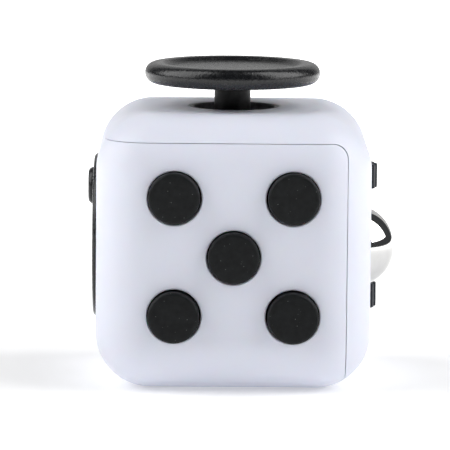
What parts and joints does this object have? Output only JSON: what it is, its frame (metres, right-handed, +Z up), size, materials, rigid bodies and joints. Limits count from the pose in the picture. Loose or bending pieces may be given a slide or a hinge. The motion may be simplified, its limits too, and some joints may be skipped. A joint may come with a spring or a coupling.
{
  "type": "fidget cube",
  "caption": "Rounded two-shell fidget cube with push buttons, a gliding thumb disc, a spinning dial, a rolling ball with thumb gears, a rocker and a thumb dish.",
  "frame": {"origin": "bottom centre of the overall envelope, on the plane the cube stands on", "axes": "+Z up towards the gliding thumb disc, front towards -Y where the push buttons are, +X towards the ball"},
  "size_m": [0.0372, 0.0364, 0.0383],
  "materials": {
    "white_shell": "satin moulded",
    "black": "satin moulded",
    "soft_black": "soft-touch",
    "grey": "satin moulded",
    "silicone": "matte translucent",
    "circuit_board": "solder mask",
    "chrome": "mirror polished",
    "spring_steel": "rolled",
    "zinc_screw": "zinc plated"
  },
  "bodies": {
    "housing": {"front_shell": "white_shell", "rear_shell": "white_shell", "click_switch_upper_left": "black", "click_switch_centre": "black", "click_switch_lower_right": "black", "glide_bezel": "black", "glide_cage": "black", "roll_frame": "black", "ball_switch": "black", "flip_base": "black", "return_pad_upper_right": "silicone", "return_pad_lower_left": "silicone", "glide_centring_web": "silicone", "click_board": "circuit_board", "ball_switch_board": "circuit_board", "spin_detent_spring": "spring_steel", "gear_axle": "spring_steel", "gear_detent_comb": "spring_steel", "flip_axle": "spring_steel", "flip_leaf_spring": "spring_steel", "click_board_screw_1": "zinc_screw", "click_board_screw_2": "zinc_screw", "click_board_screw_3": "zinc_screw", "glide_cage_screw_1": "zinc_screw", "glide_cage_screw_2": "zinc_screw", "glide_cage_screw_3": "zinc_screw", "glide_cage_screw_4": "zinc_screw", "roll_frame_screw_1": "zinc_screw", "roll_frame_screw_2": "zinc_screw", "roll_frame_screw_3": "zinc_screw", "roll_frame_screw_4": "zinc_screw", "ball_board_screw_1": "zinc_screw", "ball_board_screw_2": "zinc_screw", "flip_base_screw_1": "zinc_screw", "flip_base_screw_2": "zinc_screw"},
    "button_upper_left": {"button_upper_left": "soft_black", "click_plunger_upper_left": "grey"},
    "button_upper_right": {"button_upper_right": "soft_black"},
    "button_centre": {"button_centre": "soft_black", "click_plunger_centre": "grey"},
    "button_lower_left": {"button_lower_left": "soft_black"},
    "button_lower_right": {"button_lower_right": "soft_black", "click_plunger_lower_right": "grey"},
    "glide_carrier": {"glide_carrier": "grey"},
    "thumb_disc": {"thumb_disc": "black", "glide_stem": "black", "glide_washer": "spring_steel", "glide_stem_screw": "zinc_screw"},
    "dial": {"spin_dial": "black", "spin_detent_wheel": "grey", "spin_dial_screw": "zinc_screw"},
    "ball_seat": {"ball_seat": "grey", "ball_plunger": "grey"},
    "ball": {"steel_ball": "chrome"},
    "gear_upper": {"thumb_gear_upper": "black"},
    "gear_middle": {"thumb_gear_middle": "black"},
    "gear_lower": {"thumb_gear_lower": "black"},
    "rocker": {"flip_rocker": "black"}
  },
  "joints": [
    {"name": "press_upper_left", "type": "slide", "parent": "housing", "child": "button_upper_left", "axis": [0, 1, 0], "range_m": [0, 0.0006], "stiffness_N_per_m": 300},
    {"name": "press_upper_right", "type": "slide", "parent": "housing", "child": "button_upper_right", "axis": [0, 1, 0], "range_m": [0, 0.0006], "stiffness_N_per_m": 300, "deforming": ["return_pad_upper_right"]},
    {"name": "press_centre", "type": "slide", "parent": "housing", "child": "button_centre", "axis": [0, 1, 0], "range_m": [0, 0.0006], "stiffness_N_per_m": 300},
    {"name": "press_lower_left", "type": "slide", "parent": "housing", "child": "button_lower_left", "axis": [0, 1, 0], "range_m": [0, 0.0006], "stiffness_N_per_m": 300, "deforming": ["return_pad_lower_left"]},
    {"name": "press_lower_right", "type": "slide", "parent": "housing", "child": "button_lower_right", "axis": [0, 1, 0], "range_m": [0, 0.0006], "stiffness_N_per_m": 300},
    {"name": "glide_x", "type": "slide", "parent": "housing", "child": "glide_carrier", "axis": [1, 0, 0], "range_m": [-0.00168, 0.00212], "stiffness_N_per_m": 100, "deforming": ["glide_centring_web"]},
    {"name": "glide_y", "type": "slide", "parent": "glide_carrier", "child": "thumb_disc", "axis": [0, 1, 0], "range_m": [-0.0019, 0.0019], "stiffness_N_per_m": 100, "deforming": ["glide_centring_web"]},
    {"name": "dial_spin", "type": "hinge", "parent": "housing", "child": "dial", "pos_m": [-0.0174, -0.0005, 0.01705], "axis": [-1, 0, 0], "continuous": true, "deforming": ["spin_detent_spring"]},
    {"name": "ball_press", "type": "slide", "parent": "housing", "child": "ball_seat", "axis": [-1, 0, 0], "range_m": [0, 0.0006], "stiffness_N_per_m": 400},
    {"name": "ball_roll", "type": "hinge", "parent": "ball_seat", "child": "ball", "pos_m": [0.0136, -0.0049, 0.0165], "axis": [0, 0, 1], "continuous": true},
    {"name": "gear_spin_upper", "type": "hinge", "parent": "housing", "child": "gear_upper", "pos_m": [0.0125, 0.0057, 0.0239], "axis": [0, 0, 1], "continuous": true, "deforming": ["gear_detent_comb"]},
    {"name": "gear_spin_middle", "type": "hinge", "parent": "housing", "child": "gear_middle", "pos_m": [0.0125, 0.0057, 0.0165], "axis": [0, 0, 1], "continuous": true, "deforming": ["gear_detent_comb"]},
    {"name": "gear_spin_lower", "type": "hinge", "parent": "housing", "child": "gear_lower", "pos_m": [0.0125, 0.0057, 0.0091], "axis": [0, 0, 1], "continuous": true, "deforming": ["gear_detent_comb"]},
    {"name": "rocker_flip", "type": "hinge", "parent": "housing", "child": "rocker", "pos_m": [-0.0009, 0.0124, 0.0165], "axis": [1, 0, 0], "range_deg": [0, 22], "deforming": ["flip_leaf_spring"]}
  ]
}
